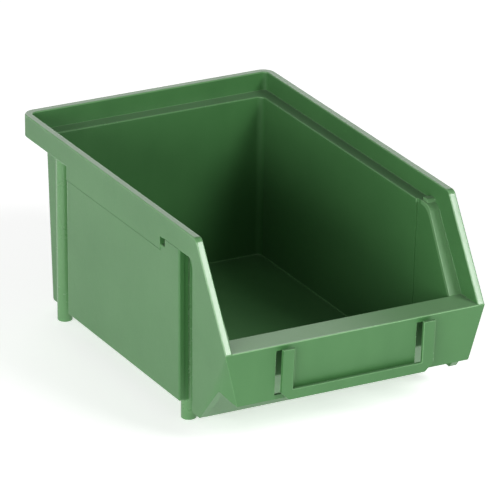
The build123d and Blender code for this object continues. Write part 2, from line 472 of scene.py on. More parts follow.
def run_length(edge: bmesh.types.BMEdge) -> float:
    """Length of the smooth run of sharp edges that an edge belongs to."""
    total = edge.calc_length()
    for end in edge.verts:
        here, tip = edge, end
        for _ in range(RUN_STEPS):
            heading = (tip.co - here.other_vert(tip).co).normalized()
            ahead = [
                other for other in tip.link_edges if other is not here and is_sharp(other)
                and heading.dot((other.other_vert(tip).co - tip.co).normalized()) > RUN_TURN
            ]
            if not ahead:
                break
            here = ahead[0]
            tip = here.other_vert(tip)
            total += here.calc_length()
    return total


def level_along_curves(allowed: dict[bmesh.types.BMEdge, float]) -> None:
    """Gives the edges of one curved run the smallest radius that any of them is allowed."""
    settled = False
    while not settled:
        settled = True
        for edge, room in allowed.items():
            for end in edge.verts:
                heading = (end.co - edge.other_vert(end).co).normalized()
                for other in end.link_edges:
                    if other is edge or other not in allowed or allowed[other] <= room:
                        continue
                    turn = heading.dot((other.other_vert(end).co - end.co).normalized())
                    if RUN_TURN < turn < STRAIGHT:
                        allowed[other] = room
                        settled = False


def face_width(face: bmesh.types.BMFace, edge: bmesh.types.BMEdge, share: float) -> float:
    """How wide a face is, square to one of its edges.

    Args:
        face: The face.
        edge: One of its edges.
        share: Where along the edge to measure, from 0 to 1.

    Returns:
        The distance to the face's far side.
    """
    first, second = (vert.co for vert in edge.verts)
    start = first.lerp(second, share)
    along = (second - first).normalized()
    inwards = face.normal.cross(along)
    for loop in face.loops:
        if loop.edge is edge and loop.vert is not edge.verts[0]:
            inwards = -inwards
    nearest = FAR
    for other in face.edges:
        if other is edge:
            continue
        near, far = (vert.co - start for vert in other.verts)
        near_along, far_along = near.dot(along), far.dot(along)
        if (near_along > 0) == (far_along > 0):
            continue
        crossing = near.lerp(far, near_along / (near_along - far_along))
        if crossing.dot(inwards) > TOUCHING:
            nearest = min(nearest, crossing.dot(inwards))
    return nearest


def edge_room(edge: bmesh.types.BMEdge) -> float:
    """The widest rounding that the faces beside an edge, and its own run, have room for."""
    widths = [run_length(edge)]
    widths += [face_width(face, edge, share) for face in edge.link_faces for share in ROOM_PLACES]
    return ROOM_SHARE * min(widths)


# ---------------------------------------------------------------- shader maths


def arithmetic(operation: str, reflected: bool = False) -> Callable[["Value", "Number"], "Value"]:
    """Makes the method behind one operator.

    Args:
        operation: The Math node's operation.
        reflected: Whether the other operand comes first.

    Returns:
        The method.
    """
    def method(self: "Value", other: "Number") -> "Value":
        """Adds the Math node."""
        first, second = (other, self) if reflected else (self, other)
        return self.maths(operation, first, second)

    return method


class Value:
    """A shader socket that takes part in Python arithmetic."""

    def __init__(self, sheet: "NodeSheet", socket: bpy.types.NodeSocket) -> None:
        """Wraps a socket of a node sheet."""
        self.sheet = sheet
        self.socket = socket

    def maths(self, operation: str, first: "Number", second: "Number") -> "Value":
        """Adds one Math node."""
        return self.sheet.node("ShaderNodeMath", {"operation": operation}, {0: first, 1: second})

    __add__, __radd__ = arithmetic("ADD"), arithmetic("ADD", reflected=True)
    __sub__, __rsub__ = arithmetic("SUBTRACT"), arithmetic("SUBTRACT", reflected=True)
    __mul__, __rmul__ = arithmetic("MULTIPLY"), arithmetic("MULTIPLY", reflected=True)

    def beyond(self, edge: float) -> "Value":
        """How far the value, with no sign, lies beyond an edge."""
        size = self.sheet.node("ShaderNodeMath", {"operation": "ABSOLUTE"}, {0: self})
        return self.maths("MAXIMUM", size - edge, 0.0)

    def clamped(self) -> "Value":
        """The value held between 0 and 1."""
        return self.sheet.node("ShaderNodeClamp", {}, {"Value": self})


Number = Union[Value, float]


class NodeSheet:
    """The nodes of one material."""

    def __init__(self, name: str) -> None:
        """Starts an empty material."""
        self.material = bpy.data.materials.new(name)
        self.material.use_nodes = True
        self.tree = self.material.node_tree
        self.tree.nodes.clear()

    def node(
        self, kind: str, settings: dict[str, Any], inputs: dict[Any, Any], output: int | str = 0
    ) -> Value:
        """Adds a node.

        Args:
            kind: The node's type.
            settings: Its own settings, set first.
            inputs: Values or links by socket name or number.
            output: Which output to hand back.

        Returns:
            The chosen output, ready for arithmetic.
        """
        made = self.tree.nodes.new(kind)
        for key, value in settings.items():
            setattr(made, key, value)
        for key, value in inputs.items():
            if isinstance(value, Value):
                self.tree.links.new(value.socket, made.inputs[key])
            else:
                made.inputs[key].default_value = value
        return Value(self, made.outputs[output])

    def closed(self, shader: Value) -> bpy.types.Material:
        """Joins the shader to the material's output."""
        out = self.tree.nodes.new("ShaderNodeOutputMaterial")
        self.tree.links.new(shader.socket, out.inputs["Surface"])
        return self.material

    def axes(self) -> tuple[Value, Value, Value]:
        """The X, Y and Z object coordinates, in millimetres."""
        own = self.place((1 / MM, 1 / MM, 1 / MM))
        parts = self.tree.nodes.new("ShaderNodeSeparateXYZ")
        self.tree.links.new(own.socket, parts.inputs[0])
        return tuple(Value(self, output) for output in parts.outputs)

    def ramp(self, value: Value, start: float, end: float) -> Value:
        """A smooth rise from 0 at start to 1 at end."""
        settings = {"interpolation_type": "SMOOTHSTEP"}
        inputs = {"Value": value, "From Min": start, "From Max": end}
        return self.node("ShaderNodeMapRange", settings, inputs)

    def place(self, scale: Sequence[float] = (1, 1, 1)) -> Value:
        """Object coordinates, stretched by a scale for each axis."""
        own = self.node("ShaderNodeTexCoord", {}, {}, "Object")
        return self.node("ShaderNodeMapping", {}, {"Vector": own, "Scale": scale})

    def noise(self, size: float, detail: float, scale: Sequence[float] = (1, 1, 1)) -> Value:
        """A noise whose grain is about the given size in metres."""
        settings = {"noise_dimensions": "3D"}
        inputs = {"Vector": self.place(scale), "Scale": 1 / size, "Detail": detail, "Roughness": 0.55}
        return self.node("ShaderNodeTexNoise", settings, inputs)

    def mix(self, share: Number, first: Any, second: Any) -> Value:
        """Mixes two colours."""
        settings = {"data_type": "RGBA", "blend_type": "MIX"}
        return self.node("ShaderNodeMix", settings, {0: share, 6: first, 7: second}, 2)


def colour(red: int, green: int, blue: int) -> tuple[float, float, float, float]:
    """A display colour from 0 to 255 as a linear shader colour."""
    def linear(level: int) -> float:
        """One channel."""
        share = level / 255
        return share / 12.92 if share <= 0.04045 else ((share + 0.055) / 1.055) ** 2.4
    return linear(red), linear(green), linear(blue), 1.0


@dataclass(frozen=True)
class MouldedPlastic:
    """Satin moulded polypropylene: a fine grain, flow marks, and shinier top edges tinted paler, partly
    as wear and partly as a painted highlight.
    """

    name: str = "moulded_plastic"
    base: tuple[int, int, int] = (69, 121, 67)
    deep: tuple[int, int, int] = (61, 112, 60)
    # Paler green mixed onto the rim's top, the slopes' edges, the rounded edges and the lip's top: part
    # wear, part painted highlight.
    wear_and_highlight_tint: tuple[int, int, int] = (122, 168, 118)
    wear_and_highlight_share: float = 0.55
    rim_share: float = 0.5
    lip_highlight_share: float = 0.0
    everywhere: float = 0.0
    roughness: float = 0.42
    rubbed_roughness: float = 0.2
    roughness_drift: float = 0.10
    grain_size: float = 0.00035
    grain_depth: float = 0.12
    ripple_size: float = 0.006
    ripple_depth: float = 0.03
    flow_size: float = 0.03
    flow_stretch: tuple[float, float, float] = (4.0, 0.6, 1.6)
    flow_contrast: float = 2.2
    speckle_depth: float = 0.08
    scuff_size: float = 0.012
    scuffed: float = 0.25
    scuff_fade: tuple[float, float] = (0.25, 0.5)
    drift_share: float = 0.6
    speckle_ratio: float = 3.0
    ripple_height: float = 0.001
    grain_height: float = 0.0001
    rim_fade: tuple[float, float] = (0.55, 0.25)
    slope_fade: tuple[float, float] = (0.35, 0.75)
    lip_fade: tuple[float, float] = (0.5, 0.2)
    side_gap: float = 0.3
    side_fade: float = 0.2
    ior: float = 1.49
    sheen: float = 0.15
    sheen_roughness: float = 0.4

    def rise(self, sheet: NodeSheet, value: Value, level: float) -> Value:
        """From 0 to 1 just below a level."""
        return sheet.ramp(value, level - self.lip_fade[0], level - self.lip_fade[1])

    def wear_and_highlight_mask(self, sheet: NodeSheet, sizes: "BinSizes") -> Value:
        """How much paler tint the surface takes, as wear and as a painted highlight: fully on the rim's
        top and on the slopes' narrow edges.

        Args:
            sheet: The material's nodes.
            sizes: The bin's places.

        Returns:
            A value from 0 to 1.
        """
        _, y, z = sheet.axes()
        rim = sheet.ramp(z, sizes.height - self.rim_fade[0], sizes.height - self.rim_fade[1])
        behind = (y - sizes.apron_face) - (z - sizes.front_height) * sizes.slope_per_mm
        slope = 1.0 - sheet.ramp(behind, *self.slope_fade)
        above = self.rise(sheet, z, sizes.front_height)
        wear_and_highlight = sheet.ramp(sheet.noise(self.scuff_size, 4.0), *self.scuff_fade)
        most = (rim * self.rim_share + slope * above + self.everywhere).clamped()
        return most * ((1 - self.scuffed) + wear_and_highlight * self.scuffed)

    def handled(self, sheet: NodeSheet, sizes: "BinSizes") -> Value:
        """How much painted highlight the top of the front lip and its shelves get: a paler tint for the
        light these upward faces catch.

        Args:
            sheet: The material's nodes.
            sizes: The bin's places.

        Returns:
            A value from 0 to 1.
        """
        x, y, z = sheet.axes()
        outwards = x.beyond(sizes.rim_inner - self.side_gap)
        between = 1.0 - sheet.ramp(outwards, 0.0, self.side_fade)
        ahead = 1.0 - self.rise(sheet, y, sizes.panel_front)
        return between * ahead * self.rise(sheet, z, sizes.front_height)

    def make(self, sizes: "BinSizes") -> bpy.types.Material:
        """Builds the material for a bin of the given sizes."""
        sheet = NodeSheet(self.name)
        drift = sheet.noise(self.flow_size, 3.0)
        streak = sheet.noise(self.flow_size, 2.0, self.flow_stretch)
        speckle = sheet.noise(self.grain_size * self.speckle_ratio, 2.0)
        flow = drift * self.drift_share + streak * (1 - self.drift_share)
        share = ((flow - 0.5) * self.flow_contrast + 0.5).clamped()
        body = sheet.mix(share, colour(*self.base), colour(*self.deep))
        wear_and_highlight_mask = self.wear_and_highlight_mask(sheet, sizes)
        # Painted highlight: these masks mix the body towards the paler green, partly for wear and
        # partly for the light the rim, slopes, edges and lip catch.
        wear_and_highlight = wear_and_highlight_mask * self.wear_and_highlight_share + self.handled(sheet, sizes) * self.lip_highlight_share
        body = sheet.mix(wear_and_highlight.clamped(), body, colour(*self.wear_and_highlight_tint))
        satin = self.roughness + (drift - 0.5) * self.roughness_drift
        satin = satin + (speckle - 0.5) * self.speckle_depth
        rough = satin + (self.rubbed_roughness - satin) * wear_and_highlight_mask
        grain = sheet.noise(self.grain_size, 2.0)
        ripple = sheet.noise(self.ripple_size, 2.0)
        coarse = sheet.node("ShaderNodeBump", {}, {
            "Strength": self.ripple_depth, "Distance": self.ripple_height, "Height": ripple,
        })
        fine = sheet.node("ShaderNodeBump", {}, {
            "Strength": self.grain_depth, "Distance": self.grain_height, "Height": grain,
            "Normal": coarse,
        })
        shader = sheet.node("ShaderNodeBsdfPrincipled", {}, {
            "Base Color": body, "Roughness": rough, "Normal": fine, "IOR": self.ior,
            "Sheen Weight": self.sheen, "Sheen Roughness": self.sheen_roughness,
        })
        return sheet.closed(shader)


@dataclass(frozen=True)
class Plastic:
    """The finish of a piece's faces and that of its rounded edges."""

    face: bpy.types.Material
    edge: bpy.types.Material

    @classmethod
    def moulded(cls, sizes: "BinSizes", name: str = "moulded", lip_highlight_share: float = 0.0) -> "Plastic":
        """The satin faces and the shinier edges of one moulding, the edges tinted paler as wear and as
        a painted highlight.

        Args:
            sizes: The bin's places.
            name: The start of both materials' names.
            lip_highlight_share: How strongly the painted highlight on the lip's top shows.

        Returns:
            The pair of finishes.
        """
        face = MouldedPlastic(f"{name}_plastic", lip_highlight_share=lip_highlight_share)
        # The edge finish tints every rounded edge paler: part wear, part painted highlight.
        edge = MouldedPlastic(f"{name}_rubbed_edge", lip_highlight_share=lip_highlight_share, everywhere=EDGE_WEAR_AND_HIGHLIGHT)
        return cls(face.make(sizes), edge.make(sizes))


# ---------------------------------------------------------------- the bin


@dataclass
class Tub:
    """The container that holds the goods: floor, back, sides and sloping nose."""

    sizes: BinSizes
    edge: float = 0.45
    nose_lap: float = 1.5
    corner_zone: float = 3.0
    nodes: tuple[str, ...] = (
        "floor_pan", "back_wall", "nose_slope", "nose_wall", *pair("side_wall"),
    )

    def part(self, wall: float, bottom: float, top: float, nose: bool) -> Block:
        """One of the two convex bodies that make the tub, less a wall.

        Args:
            wall: How far inside the outer faces the body lies.
            bottom: Its lowest height.
            top: Its highest height.
            nose: True for the wider front body, False for the long rear one.

        Returns:
            The body.
        """
        s = self.sizes
        rise = s.ledge_top - s.floor_bottom
        half = s.tub_half + (s.nose_step if nose else 0.0) - wall
        draft = s.nose_draft if nose else s.tub_draft
        step = s.nose_back - wall
        planes = [
            plane((half, 0, s.ledge_top), (rise, 0, -draft)),
            plane((-half, 0, s.ledge_top), (-rise, 0, -draft)),
            plane((0, 0, bottom), (0, 0, -1)),
            plane((0, 0, top), (0, 0, 1)),
        ]
        if nose:
            foot = s.apron_face + s.nose_foot
            planes += [
                plane((0, s.lip_back - s.tub_wall + wall, 0), (0, -1, 0)),
                plane((0, foot + wall * math.sqrt(2), s.floor_bottom), (0, -1, -1)),
                plane((0, step, 0), (0, 1, 0)),
            ]
            return Block.from_planes(planes)
        back = s.tub_back - wall
        planes += [
            plane((0, back, s.ledge_top), (0, rise, -s.tub_draft)),
            plane((0, step - self.nose_lap, 0), (0, -1, 0)),
        ]

        def upright(middle: Vector) -> bool:
            """Whether an edge's middle is that of an upright corner at the back."""
            rear = middle.y > back - self.corner_zone and abs(middle.x) > half - self.corner_zone
            return rear and bottom + 1 < middle.z < top - 1

        return Block.from_planes(planes, {upright: s.tub_corner - wall})

    def hollow(self, top: float) -> Block:
        """The space inside the tub, up to the given height."""
        s = self.sizes
        rear = self.part(s.tub_wall, s.floor_top, top, nose=False)
        return rear.join(self.part(s.tub_wall, s.floor_top, top, nose=True))

    def outer(self) -> Block:
        """The tub's outer body."""
        s = self.sizes
        rear = self.part(0.0, s.floor_bottom, s.ledge_top, nose=False)
        return rear.join(self.part(0.0, s.floor_bottom, s.ledge_top, nose=True))

    def build(self, open_front: "OpenFront", plastic: Plastic) -> bpy.types.Object:
        """Shapes the tub and dresses it in its plastic."""
        s = self.sizes
        block = self.outer().cut(self.hollow(s.height + OPEN_TOP), open_front.space(s.ledge_wall))

        def limit(middle: Vector) -> float:
            """No rounding at the hidden seam with the frame above."""
            return 0.0 if open_front.depth_below(middle, s.ledge_wall) < SEAM_REACH else self.edge

        piece = block.finish("tub", self.edge, limit)
        return dress(piece, plastic, self.nodes)


@dataclass
class OpenFront:
    """The line that the ledge, the curved shelf and the lip follow, seen from the side."""

    sizes: BinSizes

    def line(self, drop: float) -> Outline:
        """The (y, z) line from the lip to the back, lowered square to itself by a drop."""
        s = self.sizes
        slant = math.hypot(1, s.slope_per_mm)
        low_z, top_z = s.front_height - drop, s.ledge_top - drop

        def slope_y(z: float) -> float:
            """Where the lowered slope stands at height z."""
            return s.lip_back + (z - s.front_height) * s.slope_per_mm + drop * slant

        points = [(-FAR / 2, low_z), (slope_y(low_z), low_z), (slope_y(top_z), top_z), (FAR / 2, top_z)]
        return rounded(points, {2: s.shelf_radius + drop})

    def space(self, drop: float) -> Block:
        """Everything above the lowered line, across the whole width."""
        outline = self.line(drop) + [(FAR / 2, FAR / 2), (-FAR / 2, FAR / 2)]
        return Block.prism(outline, Axis.X, -FAR / 4, FAR / 4)

    def band(self, half: float, front: float, back: float) -> Block:
        """The shelf's own thickness, as a strip across the width."""
        s = self.sizes
        strip = self.line(0.0) + self.line(s.ledge_wall)[::-1]
        block = Block.prism(strip, Axis.X, -half, half)
        return block.work(cuboid((-FAR, front, -FAR), (FAR, back, FAR)), Work.KEEP)

    def depth_below(self, point: Vector, drop: float) -> float:
        """How far a point lies from the lowered line."""
        line = self.line(drop)
        place = Vector((point.y, point.z))
        nearest = FAR
        for first, second in zip(line, line[1:]):
            start, run = Vector(first), Vector(second) - Vector(first)
            if run.length_squared == 0:
                continue
            share = min(1.0, max(0.0, (place - start).dot(run) / run.length_squared))
            nearest = min(nearest, (place - start - run * share).length)
        return nearest


@dataclass
class StackingFrame:
    """Rim, ledge, lip, wings, apron and side skirts, which are one continuous wall."""

    sizes: BinSizes
    edge: float = 0.5
    inner_edge: float = 0.15
    overlap: float = 0.5
    cut_past: float = 1.0
    cut_under: float = -20.0
    slope_end: float = 10.0
    rim_corner: float = 5.0
    slope_corner: float = 3.0
    taper: float = 5.6
    corner_turn: float = 8.0
    corner_end: float = 15.0
    corner_steps: int = 5
    notch_back: float = 6.4
    notch_top: float = 23.9
    notch_round: float = 1.0
    tip_back: float = 19.5
    fence: float = 1.2
    panel_inset: float = 0.3
    panel_wall: float = 2.0
    skirt_round: float = 0.7
    strip_start: float = 14.4
    strip_height: float = 5.2
    slot_start: float = 11.4
    slot_length: float = 3.0
    slot_height: float = 3.2
    groove: float = 0.4
    web_reach: float = 2.2
    web_set: float = 0.3
    web_wall: float = 1.8
    window_margin: float = 1.3
    window_drop: float = 0.7
    window_foot: float = 2.2
    window_reach: float = 1.7
    stop_reach: float = 1.6
    stop_round: float = 1.0
    nodes: tuple[str, ...] = (
        *pair("rim"), "rim_back", *pair("ledge"), "ledge_back", "front_lip", *pair("curved_shelf"),
        *pair("front_wing"), "front_apron", *pair("side_panel"), *pair("foot_stop"),
    )

    def front_body(
        self, wall: float, front_wall: float, back: float, bottom: float, top: float
    ) -> Block:
        """The bin's front as a full convex body, less its walls."""
        s = self.sizes
        face = plane((0, s.apron_face + front_wall, s.front_height), (0, -1, -s.apron_lean))
        planes = [
            face, plane((0, back, 0), (0, 1, 0)),
            plane((0, 0, bottom), (0, 0, -1)), plane((0, 0, top), (0, 0, 1)),
        ]
        for hand in (-1, 1):
            planes.append(plane((hand * (s.side - wall), 0, 0), (hand, 0, 0)))
            corner = Vector((hand * s.side, s.apron_face, s.front_height))
            foot = Vector((hand * (s.side - self.taper), s.apron_y(s.apron_bottom), s.apron_bottom))
            turn = Vector((hand * s.side, s.apron_face + self.corner_turn, s.apron_bottom))
            end = Vector((hand * s.side, s.apron_face + self.corner_end, s.apron_bottom))
            for step in range(self.corner_steps):
                share = (step + 0.5) / self.corner_steps
                place = foot.lerp(turn, share).lerp(turn.lerp(end, share), share)
                run = turn.lerp(end, share) - foot.lerp(turn, share)
                normal = (place - corner).cross(run).normalized()
                normal = normal if normal.x * hand > 0 else -normal
                planes.append((corner - normal * wall, normal))
        return Block.from_planes(planes)

    def front(self) -> Block:
        """Wings and apron, cut to the slope above and the notches below."""
        s = self.sizes
        shell = self.front_body(0, 0, s.wing_back, s.skirt_bottom, s.height)
        within = self.front_body(
            s.side_wall, s.apron_wall, s.wing_back + CLEAR, -CLEAR, s.height + CLEAR
        )
        shell.cut(within)
        run = [
            (-FAR / 2, s.front_height), (s.apron_face, s.front_height), (s.slope_top, s.height),
            (s.slope_top + self.slope_end, s.height),
        ]
        slope = rounded(run, {2: self.slope_corner})[:-1]
        above = [*slope, (slope[-1][0], FAR / 2), (-FAR / 2, FAR / 2)]
        shell.cut(Block.prism(above, Axis.X, -FAR / 4, FAR / 4))
        mouth_back = s.wing_back + CLEAR
        shell.cut(cuboid((-s.rim_inner, -FAR, s.front_height), (s.rim_inner, mouth_back, FAR)))
        tip = s.apron_face + self.tip_back
        notch = [
            (-FAR / 2, s.apron_bottom), (s.apron_y(s.apron_bottom), s.apron_bottom),
            (s.apron_face + self.notch_back, self.notch_top),
            (tip, s.skirt_bottom), (tip, self.cut_under), (-FAR / 2, self.cut_under),
        ]
        below = rounded(notch, {2: self.notch_round})
        return shell.cut(Block.prism(below, Axis.X, -FAR / 4, FAR / 4))

    def rim(self) -> Block:
        """The upright band round the sides and the back."""
        s = self.sizes
        start = s.wing_back - self.overlap
        outer = rounded(box_outline((-s.side, start), (s.side, s.back)),
                        {2: self.rim_corner, 3: self.rim_corner})
        half, back = s.rim_inner, s.rim_inner_back
        radius = self.rim_corner - s.side_wall
        inner = rounded(box_outline((-half, -FAR), (half, back)), {2: radius, 3: radius})
        ring = Block.prism(outer, Axis.Z, s.rim_bottom, s.height)
        return ring.cut(Block.prism(inner, Axis.Z, s.rim_bottom - CLEAR, s.height + CLEAR))

    def fences(self, open_front: OpenFront) -> list[Block]:
        """The small fences that close the recess behind each wing, above the shelf."""
        s = self.sizes
        made = []
        for hand in (-1, 1):
            near, far = sorted((hand * s.rim_inner, hand * (s.rim_inner + self.fence)))
            fence = cuboid((near, s.wing_back - self.overlap, s.front_height),
                           (far, s.nose_back, s.rim_bottom + self.overlap))
            made.append(fence.work(open_front.space(s.ledge_wall), Work.KEEP))
        return made

    def panels(self) -> list[Block]:
        """The side skirts, with the flush strip and the slot near the top of each."""
        s = self.sizes
        face = s.side - self.panel_inset
        top = s.rim_bottom + self.overlap
        plan = rounded(box_outline((face - self.panel_wall, s.panel_front), (face, s.panel_back)),
                       {1: self.skirt_round})
        panel = Block.prism(plan, Axis.Z, s.skirt_bottom, top)
        strip = (face - self.overlap, s.panel_front + self.strip_start,
                 s.rim_bottom - self.strip_height)
        panel.join(cuboid(strip, (s.side, s.panel_back, top)))
        return [panel, mirrored(panel)]

    def slots(self) -> list[Block]:
        """What the side slots and the two windows behind the label bars take away."""
        s = self.sizes
        start = s.panel_front + self.slot_start
        made = []
        for hand, bar in zip((-1, 1), pair("label_holder_bar")):
            near, far = sorted((hand * (s.rim_inner - self.overlap), hand * (s.side + self.cut_past)))
            made.append(cuboid((near, start, s.rim_bottom - self.slot_height),
                               (far, start + self.slot_length, s.rim_bottom)))
            foot, head = low(bar), high(bar)
            made.append(cuboid(
                (foot.x - self.window_margin, -FAR, foot.z - self.window_foot),
                (head.x + self.window_margin, s.apron_face + s.apron_wall + self.window_reach,
                 s.front_height - s.ledge_wall - self.window_drop),
            ))
        return made

    def webs(self) -> list[Block]:
        """The narrow turned-in front edges of the skirts, which meet the front posts."""
        s = self.sizes
        outer = s.side - self.panel_inset
        inner = outer - self.panel_wall - self.web_reach
        web = cuboid((inner, s.panel_front + self.web_set, s.skirt_bottom),
                     (outer - self.skirt_round, s.panel_front + self.web_wall,
                      s.rim_bottom + self.overlap))
        return [web, mirrored(web)]

    def grooves(self) -> list[Block]:
        """The fine lines below the rim and below the flush strip on each side."""
        s = self.sizes
        start = s.panel_front + self.strip_start
        runs = [(s.rim_bottom, s.panel_front, start - self.slot_length),
                (s.rim_bottom - self.strip_height, start, s.panel_back)]
        made = []
        for height, first, last in runs:
            face = s.side if last > start else s.side - self.panel_inset
            outline = box_outline((face - self.groove, height - self.groove / 2),
                                  (face + self.cut_past, height + self.groove / 2))
            groove = Block.prism(outline, Axis.Y, first - self.groove / 2, last + self.groove / 2)
            made += [groove, mirrored(groove)]
        return made

    def tight_spots(self) -> list[tuple[Point3, Point3, float]]:
        """Boxes on the right hand in which edges are rounded less, with the radius allowed there."""
        s = self.sizes
        apex, front, rim = s.apron_face + self.notch_back, s.panel_front, s.rim_bottom
        strip = rim - self.strip_height
        return [
            # Where the curved shelf ends against the ledge, and the fence beside it.
            ((45.0, front - 5.5, rim - 0.5), (50.2, front + 0.5, s.ledge_top + 2), 0.12),
            ((48.5, s.wing_back - 1.0, 50.0), (51.5, s.nose_back + 0.5, rim + 0.2), 0.12),
            # The notch's apex.
            ((46.0, apex - 2.5, self.notch_top - 2.5), (52.5, apex + 2.5, self.notch_top + 2.5), 0.2),
            # The two fine grooves.
            ((51.0, front - 1.0, rim - 0.4), (52.5, front + 15.0, rim + 0.4), 0.0),
            ((51.0, front + 13.0, strip - 0.4), (52.5, s.panel_back + 1.0, strip + 0.4), 0.0),
            # The skirt's turned-in web.
            ((48.0, front + 0.2, s.skirt_bottom - 1), (49.8, front + 2.5, rim + 1), 0.1),
        ]

    def stops(self) -> list[Block]:
        """The low steps on the shelf that keep the bin above from sliding forwards."""
        s = self.sizes
        made = []
        for node in pair("foot_stop"):
            start, end = low(node), high(node)
            hand = 1 if start.x > 0 else -1
            inner = s.tub_half_at(s.ledge_top, s.tub_wall) + self.stop_reach
            near, far = sorted((hand * inner, hand * (s.rim_inner + self.overlap)))
            outline = box_outline((start.y, s.rim_bottom), (end.y, end.z))
            step = rounded(outline, {3: self.stop_round})
            made.append(Block.prism(step, Axis.X, near, far))
        return made

    def build(self, tub: Tub, open_front: OpenFront, plastic: Plastic) -> bpy.types.Object:
        """Shapes the frame as one wall and dresses it."""
        s = self.sizes
        band = open_front.band(s.rim_inner + self.overlap, s.apron_face + s.apron_wall - self.overlap,
                               s.rim_inner_back + self.overlap)
        band.cut(tub.hollow(s.height + OPEN_TOP))
        block = self.front().join(self.rim(), band, *self.fences(open_front), *self.panels(),
                                  *self.webs(), *self.stops())
        block.cut(*self.slots(), *self.grooves())

        def limit(middle: Vector) -> float:
            """The edge radius allowed: none at the hidden seam with the tub, little in tight spots."""
            across = abs(middle.x) < s.tub_half + s.nose_step
            inside = across and s.lip_back - SEAM_REACH < middle.y < s.tub_back
            if inside and open_front.depth_below(middle, s.ledge_wall) < SEAM_REACH:
                return 0.0
            spot = Vector((abs(middle.x), middle.y, middle.z))
            tight = [spot_radius for start, end, spot_radius in self.tight_spots()
                     if all(start[k] <= spot[k] <= end[k] for k in range(3))]
            return min(tight, default=self.edge)

        piece = block.finish("stacking_frame", self.edge, limit, self.inner_edge)
        return dress(piece, plastic, self.nodes)


@dataclass
class LabelHolder:
    """The U-shaped plate that holds a card off the apron."""

    sizes: BinSizes
    edge: float = 0.3
    wall: float = 1.4
    gap: float = 1.2
    seat: float = 2.4
    chamfer: float = 3.0
    seat_inset: float = 1.2
    seat_bite: float = 0.3
    apron_bite: float = 0.4
    corner_round: float = 1.0
    nodes: tuple[str, ...] = (*pair("label_holder_bar"), "label_holder_foot")

    def build(self, plastic: Plastic) -> bpy.types.Object:
        """Shapes the plate upright, leans it with the apron and dresses it."""
        s = self.sizes
        bar_low, bar_high = low("label_holder_bar_right"), high("label_holder_bar_right")
        outer, inner, foot = bar_high.x, bar_low.x, low("label_holder_foot").z
        outline = rounded([
            (-outer, bar_high.z), (-outer, foot + self.chamfer), (self.chamfer - outer, foot),
            (outer - self.chamfer, foot), (outer, foot + self.chamfer), (outer, bar_high.z),
            (inner, bar_high.z), (inner, bar_low.z), (-inner, bar_low.z), (-inner, bar_high.z),
        ], dict.fromkeys((1, 2, 3, 4), self.corner_round))
        face = s.apron_face - self.gap - self.wall
        plate = Block.prism(outline, Axis.Y, face, face + self.wall)
        seat_half = outer - self.chamfer - self.seat_inset
        plate.join(cuboid((-seat_half, face + self.wall - self.seat_bite, foot),
                          (seat_half, s.apron_face + self.apron_bite, foot + self.seat)))
        lean = Matrix.Identity(4)
        lean[1][2] = -s.apron_lean
        lean[1][3] = s.front_height * s.apron_lean
        piece = plate.move(lean).finish("label_holder", self.edge)
        return dress(piece, plastic, self.nodes)


